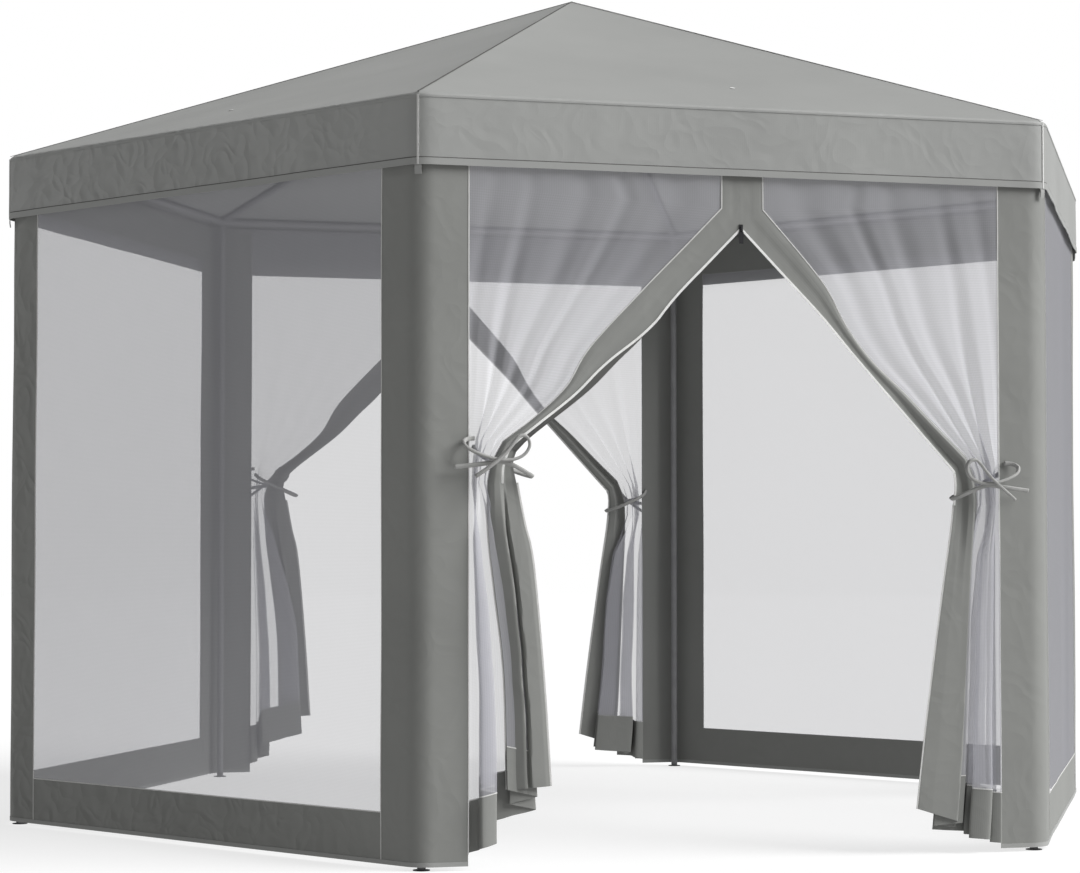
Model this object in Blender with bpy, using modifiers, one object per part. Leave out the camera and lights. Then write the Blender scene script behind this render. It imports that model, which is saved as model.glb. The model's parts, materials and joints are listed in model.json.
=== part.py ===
"""Six-sided screen house: a steel tube frame, a one-piece roof, four net walls and two zipped net doors.

Units are metres, +Z is up and the origin is on the ground under the roof's peak. The two door walls face
-Y (front) and +Y (rear), and the four plain net walls are between them. Both doors stand open: each half
is gathered at the side of its doorway and held there by a pair of straps.
"""

import math

import bmesh
import bpy
from mathutils import Matrix, Vector

# Driving dimensions
SIDES = 6
LEG_CIRCLE_R = 1.920  # from the middle of the house to the middle of each leg
EAVE_Z = 2.221  # fold between the roof and its valance
PEAK_Z = 2.857
VALANCE_DEPTH = 0.205
VALANCE_R = 1.980  # middle of the house to a corner of the valance
WALL_R = 1.965  # middle of the house to a corner of the walls
HEM_Z = 0.012  # the walls' lower edge
WALL_TOP_Z = 2.203
FABRIC = 0.0012  # coated cloth with its seams and bands, as one solid sheet
GAP = 0.0003  # kept between solids that touch

# Tubes and their fittings
TUBE_R = 0.0125
TUBE_WALL = 0.0006
SPIGOT_R = 0.0113  # the end that slides into a tube
SPIGOT_LENGTH = 0.050
LEG_JOINT_Z = 1.150
COLLAR_END = 0.034  # from the middle of a connector to the shoulder that stops a tube
FOOT_R = 0.025
FOOT_PLATE = 0.003
CONNECTOR_BALL_R = 0.0134
HUB_BALL_R = 0.0134
ROUND_STEPS = 16

# Doorways, seen from outside: x runs along the wall
BAND = 0.150  # fabric band beside each corner
ZIP_APEX_Z = 1.866  # where the open zip starts to part
ZIP_TOP_Z = 1.990
ZIP_SLOT = 0.0042
GATHER_BELOW = 0.055  # from the knot down to the end of the gathered neck
GATHER_ABOVE = 0.050
GATHER_HALF = (0.044, 0.022)  # half the gathered neck's width and depth
TAIL_GAP = 0.009  # between the gathered neck and the tail that swings under it
TAIL_PLEAT = 0.016
TAIL_COLUMNS = 24
TAIL_ROWS = 5

# Each half's knot, free edge above it, and tail below it. x is positive for both and mirrored on the left.
HALVES = {
    "right": {
        "side": 1,
        "knot": (0.785, 1.112),
        "free_edge": ((0.260, 1.607), (0.369, 1.486), (0.510, 1.335), (0.684, 1.139)),
        "tail_edge": ((0.684, 1.050), (0.645, 0.776), (0.593, 0.404), (0.560, 0.137)),
        "tail_low": 0.034,
    },
    "left": {
        "side": -1,
        "knot": (0.755, 1.170),
        "free_edge": ((0.211, 1.652), (0.304, 1.538), (0.479, 1.368), (0.690, 1.190)),
        "tail_edge": ((0.690, 1.108), (0.642, 0.872), (0.612, 0.550), (0.590, 0.234)),
        "tail_low": 0.050,
    },
}

# Zip slider and its pull tab, about the slider's middle
SLIDER_HALF = (0.006, 0.012)
SLIDER_PLATE = (0.0011, 0.0034)  # nearest and furthest from the middle of the cloth
BAIL_HALF = 0.0018
BAIL_OUT = (0.0067, 0.0082)
BAIL_Z = (0.0050, 0.0068)
PULL_PIVOT = (0.0051, -0.0036)  # out from the cloth, and up from the slider's middle
PULL_BAR_R = 0.0010
PULL_HALF = 0.0008
PULL_ARM_X = (0.0024, 0.0056)
PULL_WINDOW = 0.0076
PULL_LENGTH = 0.042
PULL_WIDTH = (0.0080, 0.0062)

# Straps: (towards the leg, out from the wall, up), from the knot. A is the front one, B goes behind.
STRAP_R = 0.0040
STRAP_A = (
    (0.062, 0.0060, 0.062), (0.085, 0.012, 0.060), (0.098, 0.026, 0.050), (0.088, 0.042, 0.032),
    (0.055, 0.053, 0.015), (0.010, 0.057, 0.002), (-0.038, 0.058, 0.001), (-0.072, 0.060, 0.016),
    (-0.087, 0.062, 0.042), (-0.078, 0.065, 0.066), (-0.056, 0.067, 0.068), (-0.036, 0.069, 0.046),
    (-0.012, 0.070, 0.018), (0.022, 0.069, -0.012), (0.052, 0.064, -0.034), (0.072, 0.058, -0.048),
)
STRAP_B = (
    (0.062, -0.0060, 0.040), (0.050, -0.020, 0.026), (0.020, -0.033, 0.008), (-0.030, -0.034, -0.014),
    (-0.078, -0.026, -0.034), (-0.106, -0.008, -0.044), (-0.109, 0.012, -0.045), (-0.092, 0.028, -0.038),
    (-0.055, 0.041, -0.020), (-0.012, 0.045, -0.006), (0.035, 0.044, -0.010), (0.082, 0.040, -0.016),
    (0.128, 0.034, -0.021),
)
STRAP_STEP = 0.019

SLOPE = math.atan2(PEAK_Z - EAVE_Z, VALANCE_R)
APOTHEM = math.cos(math.pi / SIDES)
# The tubes' middle lines lie just under the roof cloth, on a cone of their own
FRAME_DROP = (TUBE_R + FABRIC + 0.0016) / math.cos(SLOPE)
FRAME_PEAK_Z = PEAK_Z - FRAME_DROP
FRAME_EAVE_Z = FRAME_PEAK_Z - LEG_CIRCLE_R * math.tan(SLOPE)
WALL_Y = WALL_R * APOTHEM - FABRIC / 2
WALL_HALF = (WALL_Y - FABRIC / 2) * math.tan(math.pi / SIDES) - 2 * GAP
NET_X = WALL_R / 2 - BAND
CORNERS = {"right": 0, "rear_right": 60, "rear_left": 120, "left": 180, "front_left": 240, "front_right": 300}
NET_WALLS = {"rear_right": 30, "rear_left": 150, "front_left": 210, "front_right": 330}
DOOR_WALLS = {"front": -1, "rear": 1}


def clear_scene():
    for obj in list(bpy.data.objects):
        bpy.data.objects.remove(obj)


def collection(name):
    made = bpy.data.collections.new(name)
    bpy.context.scene.collection.children.link(made)
    return made


def material(name, color, roughness, metallic=0.0):
    made = bpy.data.materials.new(name)
    made.use_nodes = True
    shader = made.node_tree.nodes["Principled BSDF"]
    shader.inputs["Base Color"].default_value = (*color, 1.0)
    shader.inputs["Roughness"].default_value = roughness
    shader.inputs["Metallic"].default_value = metallic
    return made


def add_object(name, mesh, finish, group, matrix=None):
    obj = bpy.data.objects.new(name, mesh)
    if finish and not mesh.materials:
        mesh.materials.append(finish)
    if matrix:
        obj.matrix_world = matrix
    group.objects.link(obj)
    return obj


def turned(name, profile, finish, group, matrix=None):
    """A solid turned about Z from a closed outline of (radius, z), which runs down its outer side."""
    mesh = bpy.data.meshes.new(name)
    count = len(profile)
    edges = [(i, (i + 1) % count) for i in range(count)]
    mesh.from_pydata([(r, 0, z) for r, z in profile], edges, [])
    obj = add_object(name, mesh, finish, group, matrix)
    screw = obj.modifiers.new("turn", "SCREW")
    screw.steps = ROUND_STEPS
    screw.render_steps = ROUND_STEPS
    screw.use_merge_vertices = True
    screw.merge_threshold = 0.00001
    screw.use_smooth_shade = True
    return obj


def along(start, end):
    """The matrix that takes +Z from the origin to the line from start to end."""
    direction = Vector(end) - Vector(start)
    return Matrix.Translation(start) @ direction.to_track_quat("Z", "Y").to_matrix().to_4x4()


def tube_profile(length, spigot=False):
    """A straight tube from 0 to length, open at both ends, with a narrower end to plug into the next one."""
    bore = TUBE_R - TUBE_WALL
    if not spigot:
        return [(TUBE_R, length), (TUBE_R, 0), (bore, 0), (bore, length)]
    narrow = SPIGOT_R - TUBE_WALL
    tip = length + SPIGOT_LENGTH
    return [(SPIGOT_R, tip), (SPIGOT_R, length), (TUBE_R, length), (TUBE_R, 0),
            (bore, 0), (bore, length - TUBE_R), (narrow, length), (narrow, tip)]


def evaluated_mesh(obj, name):
    graph = bpy.context.evaluated_depsgraph_get()
    mesh = bpy.data.meshes.new_from_object(obj.evaluated_get(graph))
    mesh.name = name
    return mesh


def union(name, meshes):
    """One closed mesh from overlapping closed ones."""
    scene = bpy.context.scene.collection
    base, *others = [add_object(f"{name}_piece", mesh, None, scene) for mesh in meshes]
    for other in others:
        join = base.modifiers.new("join", "BOOLEAN")
        join.operation = "UNION"
        join.solver = "EXACT"
        join.object = other
    bpy.context.view_layer.update()
    mesh = evaluated_mesh(base, name)
    for obj in (base, *others):
        bpy.data.objects.remove(obj)
    return mesh


def mesh_from(name, build):
    """A mesh filled by build(bm)."""
    mesh = bpy.data.meshes.new(name)
    bm = bmesh.new()
    build(bm)
    bm.to_mesh(mesh)
    bm.free()
    return mesh


def cylinder(start, end, radius, segments=ROUND_STEPS, scale=(1, 1, 1)):
    length = (Vector(end) - Vector(start)).length
    place = along(start, end) @ Matrix.Translation((0, 0, length / 2)) @ Matrix.Diagonal((*scale, 1))
    return mesh_from("cylinder", lambda bm: bmesh.ops.create_cone(
        bm, cap_ends=True, segments=segments, radius1=radius, radius2=radius, depth=length, matrix=place))


def ball(radius):
    return mesh_from("ball", lambda bm: bmesh.ops.create_uvsphere(
        bm, u_segments=ROUND_STEPS, v_segments=10, radius=radius))


def box(low, high):
    low, high = Vector(low), Vector(high)
    place = Matrix.Translation((low + high) / 2) @ Matrix.Diagonal((*(high - low), 1))
    return mesh_from("box", lambda bm: bmesh.ops.create_cube(bm, size=1, matrix=place))


def arms(directions):
    """Collars with a spigot each, out from the middle of a connector."""
    made = []
    for direction in directions:
        unit = Vector(direction).normalized()
        made.append(cylinder((0, 0, 0), unit * (COLLAR_END - GAP), TUBE_R))
        made.append(cylinder((0, 0, 0), unit * (COLLAR_END + SPIGOT_LENGTH), SPIGOT_R))
    return made


def polar(radius, degrees, z):
    angle = math.radians(degrees)
    return Vector((radius * math.cos(angle), radius * math.sin(angle), z))


def between(start, end, margin):
    """The stretch from start to end without its margin at both ends."""
    step = (end - start).normalized() * margin
    return start + step, end - step


def make_legs(steel, group):
    lower_start = FOOT_PLATE + GAP
    lower_length = LEG_JOINT_Z - GAP - lower_start
    upper_length = FRAME_EAVE_Z - COLLAR_END - LEG_JOINT_Z
    for corner, degrees in CORNERS.items():
        at = Matrix.Translation(polar(LEG_CIRCLE_R, degrees, 0))
        lower = at @ Matrix.Translation((0, 0, lower_start))
        upper = at @ Matrix.Translation((0, 0, LEG_JOINT_Z))
        turned(f"lower_leg_{corner}", tube_profile(lower_length, spigot=True), steel, group, lower)
        turned(f"upper_leg_{corner}", tube_profile(upper_length), steel, group, upper)


def make_feet(plastic, group):
    """A round plate on a plug that fits in the leg's lower end."""
    plug = TUBE_R - TUBE_WALL - GAP
    top = FOOT_PLATE + SPIGOT_LENGTH
    outline = [(0, top), (plug, top), (plug, FOOT_PLATE), (FOOT_R, FOOT_PLATE * 0.7), (FOOT_R, 0), (0, 0)]
    for corner, degrees in CORNERS.items():
        turned(f"foot_{corner}", outline, plastic, group, Matrix.Translation(polar(LEG_CIRCLE_R, degrees, 0)))


def make_connectors(steel, group):
    """A four-way corner connector on each leg, and the six-way hub under the roof's peak."""
    sideways = [(-math.cos(math.radians(60)), side * math.sin(math.radians(60)), 0) for side in (-1, 1)]
    to_hub = (-math.cos(SLOPE), 0, math.sin(SLOPE))
    corner_mesh = union("corner_connector", [ball(CONNECTOR_BALL_R), *arms([(0, 0, -1), to_hub, *sideways])])
    for corner, degrees in CORNERS.items():
        place = Matrix.Translation(polar(LEG_CIRCLE_R, degrees, FRAME_EAVE_Z))
        turn = Matrix.Rotation(math.radians(degrees), 4, "Z")
        add_object(f"corner_connector_{corner}", corner_mesh, steel, group, place @ turn)
    down = [polar(math.cos(SLOPE), degrees, -math.sin(SLOPE)) for degrees in CORNERS.values()]
    hub_mesh = union("peak_hub", [ball(HUB_BALL_R), *arms(down)])
    add_object("peak_hub", hub_mesh, steel, group, Matrix.Translation((0, 0, FRAME_PEAK_Z)))


def make_beams(steel, group):
    """Six tubes round the eaves and six up to the hub."""
    names = list(CORNERS)
    points = [polar(LEG_CIRCLE_R, CORNERS[name], FRAME_EAVE_Z) for name in names]
    hub = Vector((0, 0, FRAME_PEAK_Z))
    for i, name in enumerate(names):
        start, end = between(points[i], points[(i + 1) % SIDES], COLLAR_END)
        turned(f"eave_tube_{i + 1}", tube_profile((end - start).length), steel, group, along(start, end))
        start, end = between(points[i], hub, COLLAR_END)
        turned(f"roof_tube_{name}", tube_profile((end - start).length), steel, group, along(start, end))


def make_roof(cloth, group):
    """Six sloping panels and the valance, as one sheet that is open underneath."""
    rise = PEAK_Z - EAVE_Z

    def build(bm):
        place = Matrix.Translation((0, 0, EAVE_Z + rise / 2))
        bmesh.ops.create_cone(bm, cap_ends=False, segments=SIDES, radius1=VALANCE_R, radius2=0,
                              depth=rise, matrix=place)
        bmesh.ops.remove_doubles(bm, verts=bm.verts, dist=0.0001)
        # The cone has a corner on +Y, and the house has one on +X
        bmesh.ops.rotate(bm, verts=bm.verts, matrix=Matrix.Rotation(math.pi / SIDES, 3, "Z"))
        rim = [edge for edge in bm.edges if edge.is_boundary]
        skirt = bmesh.ops.extrude_edge_only(bm, edges=rim)["geom"]
        lower = [item for item in skirt if isinstance(item, bmesh.types.BMVert)]
        bmesh.ops.translate(bm, verts=lower, vec=(0, 0, -VALANCE_DEPTH))
        bmesh.ops.recalc_face_normals(bm, faces=bm.faces)

    roof = add_object("roof_canopy", mesh_from("roof_canopy", build), cloth, group)
    thick = roof.modifiers.new("cloth", "SOLIDIFY")
    thick.thickness = FABRIC
    thick.offset = -1
    thick.use_even_offset = True


def make_net_walls(cloth, group):
    sheet = box((-FABRIC / 2, -WALL_HALF, HEM_Z), (FABRIC / 2, WALL_HALF, WALL_TOP_Z))
    for wall, degrees in NET_WALLS.items():
        turn = Matrix.Rotation(math.radians(degrees), 4, "Z")
        place = Matrix.Translation(polar(WALL_Y, degrees, 0))
        add_object(f"net_wall_{wall}", sheet, cloth, group, place @ turn)


def door_outline():
    """The fixed part of a door wall, from its top left corner clockwise, as (x, z)."""
    points = [(-WALL_HALF, WALL_TOP_Z), (WALL_HALF, WALL_TOP_Z)]
    lower = {}
    for name, half in HALVES.items():
        knot_x, knot_z = half["knot"]
        end_z = knot_z - GATHER_BELOW
        edge = [(ZIP_SLOT / 2, ZIP_TOP_Z), (ZIP_SLOT / 2, ZIP_APEX_Z), *half["free_edge"],
                (half["tail_edge"][0][0], end_z), (NET_X, end_z), (NET_X, HEM_Z), (WALL_HALF, HEM_Z)]
        lower[name] = [(half["side"] * x, z) for x, z in edge]
    return points + lower["right"][::-1] + lower["left"]


def sheet_from_outline(name, points):
    """An upright sheet in the XZ plane, FABRIC thick, with this outline."""
    curve = bpy.data.curves.new(name, "CURVE")
    curve.dimensions = "2D"
    curve.fill_mode = "BOTH"
    curve.extrude = FABRIC / 2
    spline = curve.splines.new("POLY")
    spline.points.add(len(points) - 1)
    for point, (x, z) in zip(spline.points, points):
        point.co = (x, z, 0, 1)
    spline.use_cyclic_u = True
    guide = add_object(name, curve, None, bpy.context.scene.collection)
    bpy.context.view_layer.update()
    mesh = evaluated_mesh(guide, name)
    bpy.data.objects.remove(guide)
    mesh.transform(Matrix.Rotation(math.radians(90), 4, "X"))
    bm = bmesh.new()
    bm.from_mesh(mesh)
    bmesh.ops.remove_doubles(bm, verts=bm.verts, dist=0.00001)
    bm.to_mesh(mesh)
    bm.free()
    return mesh


def gathered_necks():
    """The bunched cloth inside each pair of straps, a flat round column."""
    made = []
    for half in HALVES.values():
        x, z = half["knot"]
        middle = half["side"] * (x + 0.004)
        flat = (1, GATHER_HALF[1] / GATHER_HALF[0], 1)
        low = (middle, 0, z - GATHER_BELOW)
        high = (middle, 0, z + GATHER_ABOVE)
        made.append(cylinder(low, high, GATHER_HALF[0], scale=flat))
    return made


def make_doors(cloth, group):
    outline = sheet_from_outline("door_wall", door_outline())
    door_mesh = union("door_wall", [outline, *gathered_necks()])
    for wall, out in DOOR_WALLS.items():
        add_object(f"door_wall_{wall}", door_mesh, cloth, group, Matrix.Translation((0, out * WALL_Y, 0)))


def edge_x(edge, z):
    """x on a free edge at this height, by straight lines between its points."""
    for (x0, z0), (x1, z1) in zip(edge, edge[1:]):
        if z >= z1:
            return x0 + (x1 - x0) * (z0 - z) / (z0 - z1)
    return edge[-1][0]


def tail_point(half, across, down):
    """A point of a hanging tail, from its free edge (0) to the leg (1) and from its top (0) to its hem (1)."""
    top = half["knot"][1] - GATHER_BELOW - TAIL_GAP
    corner_z = half["tail_edge"][-1][1]
    hem = corner_z + (half["tail_low"] - corner_z) * across
    z = top + (hem - top) * down
    start = edge_x(half["tail_edge"], z)
    end = NET_X - TAIL_GAP
    depth = TAIL_PLEAT * (0.6 + 0.7 * down) * min(1, across / 0.3)
    y = depth * math.sin(across * 3.5 * 2 * math.pi)
    return half["side"] * (start + (end - start) * across), y, z


def tail_mesh(half, out):
    """A pleated sheet that hangs from the neck, with its origin on the line that it swings about."""
    hinge_z = half["knot"][1] - GATHER_BELOW - TAIL_GAP

    def build(bm):
        bmesh.ops.create_grid(bm, x_segments=TAIL_COLUMNS, y_segments=TAIL_ROWS, size=0.5)
        for vert in bm.verts:
            x, y, z = tail_point(half, vert.co.x + 0.5, 0.5 - vert.co.y)
            vert.co = (x, out * y, z - hinge_z)

    return mesh_from("door_tail", build), Vector((0, out * WALL_Y, hinge_z))


def make_tails(cloth, group):
    for wall, out in DOOR_WALLS.items():
        for name, half in HALVES.items():
            mesh, hinge = tail_mesh(half, out)
            tail = add_object(f"door_tail_{wall}_{name}", mesh, cloth, group, Matrix.Translation(hinge))
            thick = tail.modifiers.new("cloth", "SOLIDIFY")
            thick.thickness = FABRIC
            thick.offset = 0


def slider_mesh(out):
    """Two plates joined by a neck that runs in the zip, with the bail that holds the pull."""
    half_x, half_z = SLIDER_HALF
    near, far = SLIDER_PLATE
    bail_in, bail_out = BAIL_OUT
    low, high = BAIL_Z
    pieces = [
        box((-half_x, near, -half_z), (half_x, far, half_z)),
        box((-half_x, -far, -half_z), (half_x, -near, half_z)),
        box((-ZIP_SLOT / 2 + 0.0005, -near - 0.001, 0.002), (ZIP_SLOT / 2 - 0.0005, near + 0.001, 0.010)),
        box((-BAIL_HALF, bail_in, -high), (BAIL_HALF, bail_out, high)),
    ]
    for side in (-1, 1):
        ends = sorted((side * low, side * high))
        pieces.append(box((-BAIL_HALF, far - 0.0005, ends[0]), (BAIL_HALF, bail_in + 0.0005, ends[1])))
    mesh = union("zip_slider", pieces)
    if out < 0:
        mesh.transform(Matrix.Rotation(math.pi, 4, "Z"))
    return mesh


def pull_mesh(out):
    """A cross bar, two arms and the tapered tab, about the bar."""
    inner, outer = PULL_ARM_X
    wide, narrow = PULL_WIDTH
    pieces = [cylinder((-outer, 0, 0), (outer, 0, 0), PULL_BAR_R, segments=12)]
    for side in (-1, 1):
        ends = sorted((side * inner, side * outer))
        pieces.append(box((ends[0], -PULL_HALF, -PULL_WINDOW - 0.001), (ends[1], PULL_HALF, 0)))
    tab = box((-wide, -PULL_HALF, -PULL_LENGTH), (wide, PULL_HALF, -PULL_WINDOW))
    for vert in tab.vertices:
        if vert.co.z < -PULL_WINDOW - 0.001:
            vert.co.x *= narrow / wide
    pieces.append(tab)
    mesh = union("zip_pull", pieces)
    if out < 0:
        mesh.transform(Matrix.Rotation(math.pi, 4, "Z"))
    return mesh


def make_zips(metal, group):
    for wall, out in DOOR_WALLS.items():
        middle = Vector((0, out * WALL_Y, ZIP_APEX_Z - 0.004))
        pivot = middle + Vector((0, out * PULL_PIVOT[0], PULL_PIVOT[1]))
        add_object(f"zip_slider_{wall}", slider_mesh(out), metal, group, Matrix.Translation(middle))
        add_object(f"zip_pull_{wall}", pull_mesh(out), metal, group, Matrix.Translation(pivot))


def smooth_path(points, step):
    """Points about step apart on a smooth curve through these."""
    ends = [points[0] * 2 - points[1], *points, points[-1] * 2 - points[-2]]
    path = []
    for a, b, c, d in zip(ends, ends[1:], ends[2:], ends[3:]):
        count = max(2, round((c - b).length / step))
        for i in range(count):
            t = i / count
            path.append(0.5 * (2 * b + (c - a) * t + (2 * a - 5 * b + 4 * c - d) * t * t
                               + (3 * b - a - 3 * c + d) * t * t * t))
    return [*path, points[-1]]


def make_straps(cloth, group):
    """Each gathered half is held by two straps, sewn to the band beside the leg and tied in a single bow."""
    for wall, out in DOOR_WALLS.items():
        for name, half in HALVES.items():
            knot_x, knot_z = half["knot"]
            for letter, route in (("a", STRAP_A), ("b", STRAP_B)):
                points = [Vector((half["side"] * (knot_x + u), out * (WALL_Y + d), knot_z + w))
                          for u, d, w in route]
                curve = bpy.data.curves.new(f"strap_{wall}_{name}_{letter}", "CURVE")
                curve.dimensions = "3D"
                curve.bevel_depth = STRAP_R
                curve.bevel_resolution = 2
                curve.use_fill_caps = True
                path = smooth_path(points, STRAP_STEP)
                spline = curve.splines.new("POLY")
                spline.points.add(len(path) - 1)
                for point, place in zip(spline.points, path):
                    point.co = (*place, 1)
                add_object(curve.name, curve, cloth, group)


def main():
    clear_scene()
    group = collection("screen_house")
    steel = material("powder_coated_steel", (0.09, 0.09, 0.095), 0.45, 0.0)
    plastic = material("moulded_nylon", (0.05, 0.05, 0.055), 0.5)
    roof_cloth = material("coated_polyester", (0.37, 0.37, 0.36), 0.7)
    wall_cloth = material("polyester_net_wall", (0.24, 0.24, 0.23), 0.8)
    zip_metal = material("die_cast_zinc", (0.12, 0.12, 0.12), 0.4, 0.9)
    strap_cloth = material("folded_polyester_tape", (0.23, 0.23, 0.23), 0.8)
    make_legs(steel, group)
    make_feet(plastic, group)
    make_connectors(steel, group)
    make_beams(steel, group)
    make_roof(roof_cloth, group)
    make_net_walls(wall_cloth, group)
    make_doors(wall_cloth, group)
    make_tails(wall_cloth, group)
    make_zips(zip_metal, group)
    make_straps(strap_cloth, group)


main()
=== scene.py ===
"""Cloth, nets, straps and finishes of a six-sided screen house, built round its packed steel frame."""

import json
import math

import bmesh
import bpy
from bpy.props import FloatProperty, FloatVectorProperty, PointerProperty
from bpy.types import Operator, Panel, PropertyGroup
from mathutils import Matrix, Vector, noise

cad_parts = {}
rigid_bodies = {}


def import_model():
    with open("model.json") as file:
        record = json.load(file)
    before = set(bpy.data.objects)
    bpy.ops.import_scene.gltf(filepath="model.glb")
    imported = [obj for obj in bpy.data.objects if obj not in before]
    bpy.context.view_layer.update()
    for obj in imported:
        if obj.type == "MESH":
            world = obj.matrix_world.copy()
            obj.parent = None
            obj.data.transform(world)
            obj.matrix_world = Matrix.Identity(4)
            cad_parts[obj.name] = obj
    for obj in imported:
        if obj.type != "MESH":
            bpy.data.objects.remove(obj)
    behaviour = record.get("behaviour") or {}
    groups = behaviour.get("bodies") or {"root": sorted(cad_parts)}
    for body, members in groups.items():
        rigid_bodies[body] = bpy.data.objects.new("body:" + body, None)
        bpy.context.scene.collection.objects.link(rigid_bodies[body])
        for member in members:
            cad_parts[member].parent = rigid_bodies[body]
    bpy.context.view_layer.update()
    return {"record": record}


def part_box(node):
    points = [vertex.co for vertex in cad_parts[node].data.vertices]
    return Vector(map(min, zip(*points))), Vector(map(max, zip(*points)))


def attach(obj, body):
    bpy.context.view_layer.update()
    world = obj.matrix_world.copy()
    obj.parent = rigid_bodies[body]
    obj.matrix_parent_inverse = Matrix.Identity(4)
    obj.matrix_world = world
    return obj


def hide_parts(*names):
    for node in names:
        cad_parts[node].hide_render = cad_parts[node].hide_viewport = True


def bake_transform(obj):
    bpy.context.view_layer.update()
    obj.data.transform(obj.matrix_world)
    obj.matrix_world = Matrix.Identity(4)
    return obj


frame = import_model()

bl_info = {
    "name": "Screen House",
    "version": (1, 0, 0),
    "blender": (4, 5, 0),
    "location": "3D View > Sidebar > Screen House",
    "description": "Cloth, nets, straps and finishes of a six-sided screen house",
    "category": "Object",
}

# The house in plan: a hexagon with a leg at each corner, the first on +X
SIDES = 6
HALF_CORNER = math.pi / SIDES
CORNERS = {"right": 0, "rear_right": 60, "rear_left": 120, "left": 180, "front_left": 240, "front_right": 300}
NET_WALLS = {"rear_right": 30, "rear_left": 150, "front_left": 210, "front_right": 330}
DOORS = {"front": -1, "rear": 1}

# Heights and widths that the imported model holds
ROOF_LOW, ROOF_HIGH = (Vector(corner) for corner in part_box("roof_canopy"))
DOOR_LOW, DOOR_HIGH = (Vector(corner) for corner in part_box("door_wall_front"))
FABRIC = 0.0012
VALANCE_R = ROOF_HIGH.x - FABRIC / 2
PEAK_Z = ROOF_HIGH.z - FABRIC / 2
VALANCE_LOW_Z = ROOF_LOW.z
EAVE_Z = 2.221
WALL_R = 1.965
WALL_Y = WALL_R * math.cos(HALF_CORNER) - FABRIC / 2
HEM_Z = DOOR_LOW.z
WALL_TOP_Z = DOOR_HIGH.z
BAND = 0.150  # cloth band beside each corner
TOP_BAND = 0.145  # and along the top of each wall
NET_X = WALL_R / 2 - BAND
ZIP_APEX_Z = 1.866
NECK = 0.064  # from a knot down to the line that its tail swings about

# Each door half: its knot, then the lines of its free edge, of the seam between band and net, and of the
# leg seam. Points are (x, z) as seen from in front of the door, positive on both sides.
HALVES = {
    "right": {
        "side": 1,
        "knot": (0.785, 1.112),
        "edge": (
            ((0, WALL_TOP_Z), (0, ZIP_APEX_Z)),
            ((0, ZIP_APEX_Z), (0.128, 1.738), (0.260, 1.607), (0.369, 1.486), (0.510, 1.335), (0.684, 1.150)),
            ((0.684, 1.150), (0.689, 1.110), (0.684, 1.048)),
        ),
        "seam": (
            ((0.068, WALL_TOP_Z), (0.070, 1.920)),
            ((0.070, 1.920), (0.206, 1.772), (0.276, 1.687), (0.337, 1.579), (0.417, 1.478), (0.518, 1.387),
             (0.622, 1.286), (0.722, 1.192)),
            ((0.722, 1.192), (0.750, 1.120), (0.756, 1.048)),
        ),
        "tail_edge": ((0.684, 1.048), (0.676, 0.980), (0.645, 0.776), (0.593, 0.404), (0.560, 0.137)),
        "tail_seam": ((0.756, 1.048), (0.753, 0.960), (0.744, 0.809), (0.724, 0.345), (0.706, 0.092)),
        "tail_leg_z": 0.028,
    },
    "left": {
        "side": -1,
        "knot": (0.755, 1.170),
        "edge": (
            ((0, WALL_TOP_Z), (0, ZIP_APEX_Z)),
            ((0, ZIP_APEX_Z), (0.108, 1.757), (0.211, 1.652), (0.304, 1.538), (0.384, 1.461), (0.479, 1.368),
             (0.641, 1.243), (0.690, 1.196)),
            ((0.690, 1.196), (0.700, 1.160), (0.690, 1.106)),
        ),
        "seam": (
            ((0.058, WALL_TOP_Z), (0.060, 1.920)),
            ((0.060, 1.920), (0.175, 1.803), (0.303, 1.675), (0.468, 1.501), (0.539, 1.386), (0.634, 1.296),
             (0.730, 1.226)),
            ((0.730, 1.226), (0.765, 1.160), (0.777, 1.106)),
        ),
        "tail_edge": ((0.690, 1.106), (0.668, 0.990), (0.642, 0.872), (0.612, 0.550), (0.590, 0.234)),
        "tail_seam": ((0.777, 1.106), (0.773, 0.960), (0.753, 0.795), (0.726, 0.560), (0.716, 0.226)),
        "tail_leg_z": 0.046,
    },
}

# Straps: (towards the leg, out from the wall, up), from the knot. A is the front one, B goes behind.
STRAP_WIDTH = 0.0125
STRAP_THICK = 0.0090
STRAP_STEP = 0.019
STRAP_A = (
    (0.062, 0.0060, 0.062), (0.085, 0.012, 0.060), (0.098, 0.026, 0.050), (0.088, 0.042, 0.032),
    (0.055, 0.053, 0.015), (0.010, 0.057, 0.002), (-0.038, 0.058, 0.001), (-0.072, 0.060, 0.016),
    (-0.087, 0.062, 0.042), (-0.078, 0.065, 0.066), (-0.056, 0.067, 0.068), (-0.036, 0.069, 0.046),
    (-0.012, 0.070, 0.018), (0.022, 0.069, -0.012), (0.052, 0.064, -0.034), (0.072, 0.058, -0.048),
)
STRAP_B = (
    (0.062, -0.0060, 0.040), (0.050, -0.020, 0.026), (0.020, -0.033, 0.008), (-0.030, -0.034, -0.014),
    (-0.078, -0.026, -0.034), (-0.106, -0.008, -0.044), (-0.109, 0.012, -0.045), (-0.092, 0.028, -0.038),
    (-0.055, 0.041, -0.020), (-0.012, 0.045, -0.006), (0.035, 0.044, -0.010), (0.082, 0.040, -0.016),
    (0.128, 0.034, -0.021),
)

CAMERA_PLACE = (-2.88749, -9.39262, 0.93259)
CAMERA_PITCH, CAMERA_YAW = math.radians(2.1943), math.radians(-16.4325)
CAMERA_LENS = 92.63  # mm, on a sensor 36 mm wide

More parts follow.
